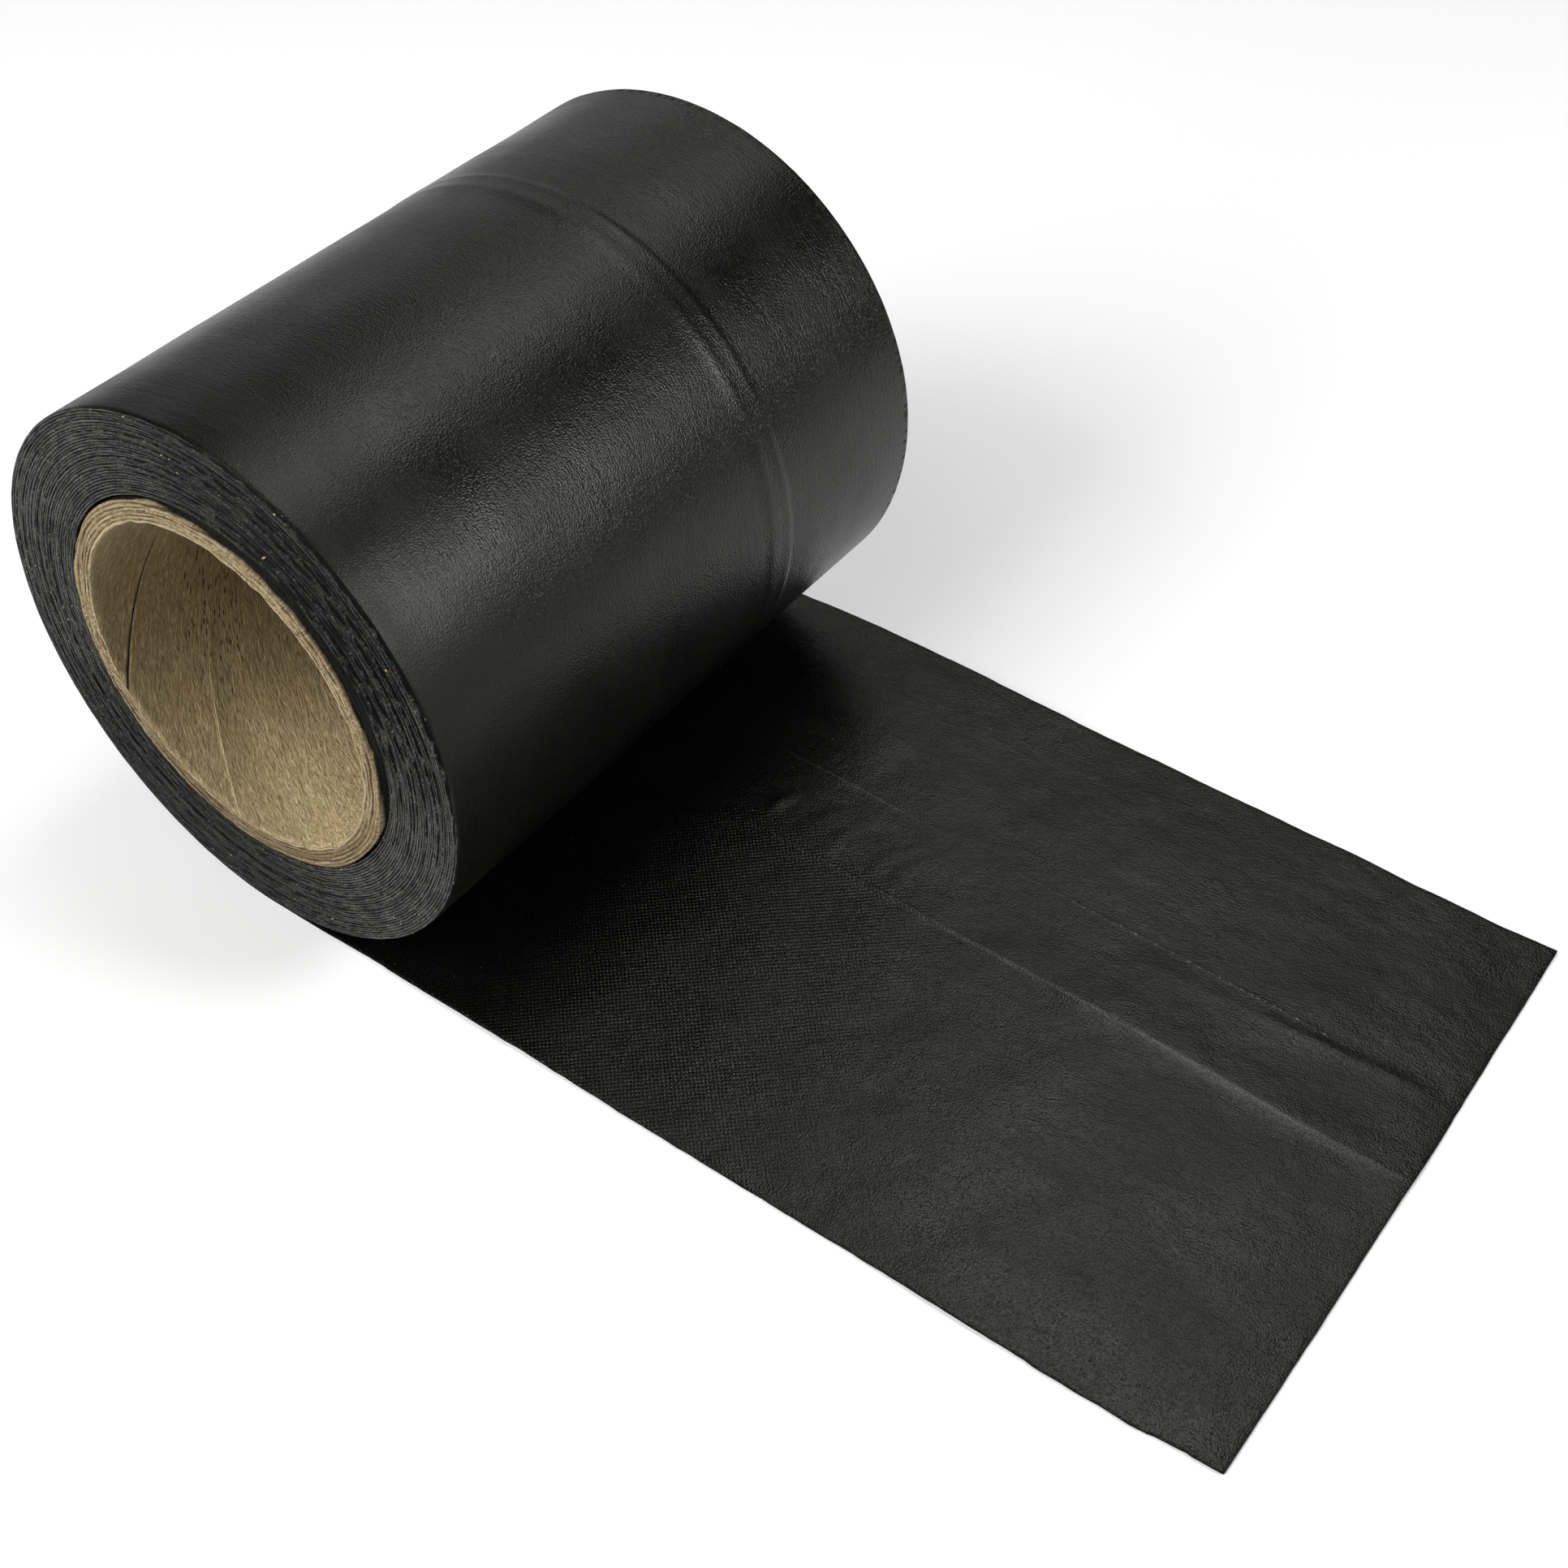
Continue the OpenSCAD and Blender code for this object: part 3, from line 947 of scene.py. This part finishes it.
def kraft_board():
    """Brown cardboard with fibres lying along the winding of its plies, and joints on its ends."""
    s = Shader("kraft_board", roughness=0.85, Specular_IOR_Level=0.15)
    sheet = s.uv()
    around, along, _ = s.split_mm(sheet)
    on_end = s.rise(around, ENDS_FROM_UV, ENDS_FROM_UV + 2)
    on_wall = s.rise(around, ENDS_FROM_UV + 2, ENDS_FROM_UV)
    lap = s.times(s.hump(around, SECOND_SEAM_ANGLE * BORE_DEGREE, 0.36), s.rise(along, 26.0, 12.0))

    tone, height = board_fibres(s, sheet)
    tone = wall_marks(s, tone, sheet, around, along, lap, on_wall)
    tone, plies = ply_marks(s, tone, sheet, around, along, on_end)
    # Painted shade: black on the near end's sunk outer plies and on the hidden outside
    tone = s.blend(painted_shade_share(s, around, along, on_end), tone, SUNK_SHADE_BLACK)
    height = s.times(height, s.rise(s.hump(around, -74.0, 62.0), 0.1, 0.8, 1.0, 0.55))
    height = s.add(height, s.times(plies, on_end, 0.1), s.times(lap, 0.1))
    return s.finish(Base_Color=tone, Normal=s.bump(height))


def board_fibres(s, sheet):
    """Colour and height of the board itself: fibres, flecks, curls and a crumpled surface."""
    drifted = s.warp(sheet, 4.0, 1.6, 8.0)
    fibres = s.noise(drifted, 0.5, 1.1, detail=2.5, roughness=0.65)
    flecks = s.noise(drifted, 0.34, 0.6, (9, 4, 0), detail=1.5, roughness=0.6)
    curls = s.noise(s.warp(sheet, 1.6, 1.1, 2.0), 0.5, 1.3, (1, 7, 0), detail=1)
    curls = s.rise(curls, 0.56, 0.66)
    crumple = s.noise(s.warp(sheet, 3.0, 1.6, 6.0), 1.7, 2.4, (3, 2, 0), roughness=0.6)
    cloud = s.noise(sheet, 22, 17, (2, 6, 0), detail=3)
    tone = s.paint(KRAFT_DARK, (s.rise(fibres, 0.3, 0.7), KRAFT_MIDDLE),
                   (s.rise(flecks, 0.54, 0.72, 0.0, 0.75), FIBRE_LIGHT),
                   (s.rise(flecks, 0.44, 0.28, 0.0, 0.75), FIBRE_DARK),
                   (s.times(curls, 0.45), CURL_BROWN),
                   (s.rise(crumple, 0.52, 0.72, 0.0, 0.55), CRUMPLE_LIGHT),
                   (s.rise(crumple, 0.46, 0.28, 0.0, 0.5), CRUMPLE_DARK),
                   (s.rise(cloud, 0.4, 0.65, 0.0, 0.25), CLOUD_BROWN))
    height = s.add(s.times(fibres, 0.15), s.times(flecks, 0.16), s.times(curls, -0.12),
                   s.times(crumple, 0.46))
    return tone, height


def wall_marks(s, tone, sheet, around, along, lap, on_wall):
    """Colour with the wall's lapped seam, painted shade in its open seam, soiled spots and its paler
    sunlit part.
    """
    # Painted shade: a black line in the open seam
    seam_gap_shade = s.math("MAXIMUM", s.hump(around, SEAM_ANGLE * BORE_DEGREE, 0.42),
                  s.hump(around, (SEAM_ANGLE + 360) * BORE_DEGREE, 0.42))
    soiled = s.times(s.hump(around, -64.0, 27.0), s.hump(along, 27.0, 18.0))
    spots = s.specks(s.stretched(s.warp(sheet, 1.0, 0.5, 5.0), 1.2, 1.3), 0.24, 0.18, 0.42)
    stray = s.specks(s.stretched(sheet, 3.4, 4.2, 1, (2, 3, 0)), 0.1, 0.05, 0.12)
    tone = s.paint(tone, (s.times(lap, 0.7), LAP_LIGHT), (s.rise(seam_gap_shade, 0.1, 0.6), SEAM_SHADE_BLACK),
                   (s.times(spots, s.rise(soiled, 0.05, 0.5), 0.8), SOIL_GREY),
                   (s.times(stray, on_wall, 0.7), STRAY_SPOT))
    sunlit = s.times(s.hump(around, -30.0, 32.0), s.rise(along, 34.0, 6.0))
    lighter = s.add(1.0, s.times(on_wall, s.add(0.26, s.times(sunlit, 0.48))))
    return s.node("ShaderNodeVectorMath", {0: tone, "Scale": lighter}, operation="SCALE").outputs[0]


def ply_marks(s, tone, sheet, around, along, on_end):
    """Colour with the plies of the ends, painted shade on the near end's lower side, and the pattern of
    the plies. Along is the radius there.
    """
    plies = s.lines(s.stretched(s.warp(sheet, 9.0, 0.3, 4.0), 1, 1), (CORE_R - BORE_R) / PLIES, 1.2, 6)
    worn = s.noise(sheet, 7, 1.0, (5, 5, 0), detail=2.5)
    joint = s.times(s.rise(plies, 0.4, 0.08), s.rise(worn, 0.36, 0.56, 0.25, 1.0), on_end)
    ridge = s.times(s.rise(plies, 0.7, 0.98), s.rise(worn, 0.45, 0.65), on_end)
    # Painted shade: the near end's lower side is browner, most of all in a band outside the inmost plies
    low_side_shade = s.rise(s.hump(around, NEAR_END_UV + LOW_SIDE_SHADE_ANGLE * BORE_DEGREE, 62.0), 0.0, 0.6)
    band = s.times(low_side_shade, s.hump(along, BORE_R + 2.3, 2.6))
    rim = s.times(s.hump(along, BORE_R + 0.35, 0.55), on_end, s.rise(worn, 0.3, 0.6, 0.4, 1.0))
    tone = s.paint(tone, (s.times(low_side_shade, 0.2), LOW_SIDE_SHADE_BROWN), (s.times(band, 0.7), SHADE_BAND_BROWN),
                   (s.times(joint, 0.9), JOINT_BROWN), (s.times(ridge, 0.55), RIDGE_LIGHT),
                   (s.times(rim, 0.5), RIM_LIGHT))
    return tone, plies


def painted_shade_share(s, around, along, on_end):
    """Where the core is painted black as shade: the near end's sunk outer plies, and the outside that the
    tape hides.
    """
    away = s.math("ABSOLUTE", s.minus(around, NEAR_END_UV + SUNK_ANGLE * BORE_DEGREE))
    reach = SUNK_REACH * BORE_DEGREE
    sunk = s.times(s.rise(away, reach, 0.35 * reach), SUNK_WIDTH)
    past = s.minus(s.add(along, sunk), CORE_R)
    sunk_shade = s.times(s.rise(past, 0.15, 0.45), s.rise(sunk, 0.0, 0.1), on_end)
    return s.math("MAXIMUM", sunk_shade, s.rise(around, OUTSIDE_FROM_UV, OUTSIDE_FROM_UV + 1))


# ---------- camera, floor and light

# Lens in mm on a film 36 mm wide. The target and the distance from it are in mm, and the azimuth,
# elevation and roll in degrees.
CAMERA_LENS = 51.058
CAMERA_TARGET = (75.518, 9.598, -51.125)
CAMERA_DISTANCE = 498.6
CAMERA_ANGLES = (36.076, 44.799, 0.125)


def add_camera():
    """The camera at the photograph's viewing angle."""
    data = bpy.data.cameras.new("camera")
    data.lens = CAMERA_LENS
    data.sensor_width = 36
    data.clip_start = 0.01
    camera = add_object("camera", data)
    azimuth, elevation, roll = (math.radians(angle) for angle in CAMERA_ANGLES)
    back = Vector((math.sin(azimuth) * math.cos(elevation), -math.cos(azimuth) * math.cos(elevation),
                   math.sin(elevation)))
    right = Vector((math.cos(azimuth), math.sin(azimuth), 0))
    up = back.cross(right)
    rolled_right = right * math.cos(roll) + up * math.sin(roll)
    rolled_up = up * math.cos(roll) - right * math.sin(roll)
    turned = Matrix((rolled_right, rolled_up, back)).transposed().to_4x4()
    place = (Vector(CAMERA_TARGET) + back * CAMERA_DISTANCE) * MM
    camera.matrix_world = Matrix.Translation(place) @ turned
    bpy.context.scene.camera = camera


# The floor reaches this far each way in metres, and lies this far under the roll
FLOOR_REACH = 8.0
FLOOR_GAP = 0.0001
FLOOR_WHITE = (0.9, 0.9, 0.9)
# Its faint glow under the roll, and the distances in metres over which that rises to full white, as
# seen and as reflected
FLOOR_GLOW = 0.05
WHITE_SEEN = (0.5, 2.0)
WHITE_REFLECTED = (2.5, 6.0)
# The white backdrop's upper edge as seen and as reflected, by the upward part of a ray's direction
BACKDROP_TOP = (0.60, 0.45)
HORIZON_TOP = (0.03, 0.0)


def rays(s):
    """Shares of the rays that see the floor and the world directly or through glass, and reflected."""
    path = s.node("ShaderNodeLightPath").outputs
    seen = s.math("MAXIMUM", path["Is Camera Ray"], path["Is Transmission Ray"])
    return seen, path["Is Glossy Ray"]


def add_floor():
    """A plain white floor. The glow that the camera sees on it brings it up to white far away too."""
    mesh = bpy.data.meshes.new("floor")
    z = FLOOR_Z * MM - FLOOR_GAP
    signs = ((-1, -1), (1, -1), (1, 1), (-1, 1))
    mesh.from_pydata([(x * FLOOR_REACH, y * FLOOR_REACH, z) for x, y in signs], [], [(0, 1, 2, 3)])
    s = Shader("floor_white", roughness=1.0, Specular_IOR_Level=0.0, Emission_Color=(1, 1, 1, 1))
    away = s.node("ShaderNodeVectorMath", {0: s.position()}, operation="LENGTH").outputs["Value"]
    seen, reflected = rays(s)
    glow = s.add(s.times(seen, s.rise(away, *WHITE_SEEN, FLOOR_GLOW, 1.0)),
                 s.times(reflected, s.rise(away, *WHITE_REFLECTED, FLOOR_GLOW, 1.0)))
    mesh.materials.append(s.finish(Base_Color=FLOOR_WHITE, Emission_Strength=glow))
    floor = add_object("floor", mesh)


# Each lamp's name, its direction from the roll, its two sizes in metres and its radiance
LAMP_DISTANCE = 1.1
SOFTBOXES = (
    ("right_softbox", (0.779, 0.345, 0.522), (0.36, 0.46), 9.4),
    ("top_softbox", (0.0, 0.37, 0.93), (0.44, 0.6), 3.25),
    ("rear_softbox", (-0.2, 0.66, 0.72), (0.7, 0.6), 0.56),
    ("over_softbox", (-0.35, -0.35, 0.87), (0.5, 0.5), 0.67),
    ("back_softbox", (-0.62, 0.55, 0.35), (0.7, 0.5), 0.58),
    ("front_softbox", (-0.28, -0.78, 0.56), (0.8, 0.8), 5.9),
    ("front_top_softbox", (0.1, -0.55, 0.83), (0.6, 0.6), 0.84),
)


def add_softbox(name, direction, size, radiance):
    """A rectangular lamp that looks at the roll from a direction."""
    data = bpy.data.lights.new(name, "AREA")
    data.shape = "RECTANGLE"
    data.size, data.size_y = size
    data.energy = 4 * size[0] * size[1] * radiance
    lamp = add_object(name, data)
    way = Vector(direction).normalized()
    lamp.location = way * LAMP_DISTANCE
    lamp.rotation_euler = way.to_track_quat("Z", "Y").to_euler()


def add_world():
    """A dark room with a white backdrop along the horizon."""
    world = bpy.data.worlds.new("world")
    world.use_nodes = True
    s = Nodes(world.node_tree)
    way = s.node("ShaderNodeTexCoord").outputs["Generated"]
    upward = s.node("ShaderNodeSeparateXYZ", {0: way}).outputs[2]
    seen, reflected = rays(s)
    backdrop = s.times(s.rise(upward, *BACKDROP_TOP), seen)
    horizon = s.times(s.rise(upward, *HORIZON_TOP), reflected)
    background = world.node_tree.nodes["Background"]
    background.inputs["Color"].default_value = (1, 1, 1, 1)
    s.put(background.inputs["Strength"], s.math("MAXIMUM", backdrop, horizon))
    bpy.context.scene.world = world


# ---------- putting it together

def main():
    """Makes the stage and both pieces."""
    add_camera()
    add_floor()
    for softbox in SOFTBOXES:
        add_softbox(*softbox)
    add_world()
    strip = make_tape([rubber_face(), rubber_edge()])
    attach(strip, "root")
    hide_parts("tape")
    tube = make_core(kraft_board())
    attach(tube, "root")
    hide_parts("core")
    bpy.context.scene.view_settings.view_transform = "Standard"


main()
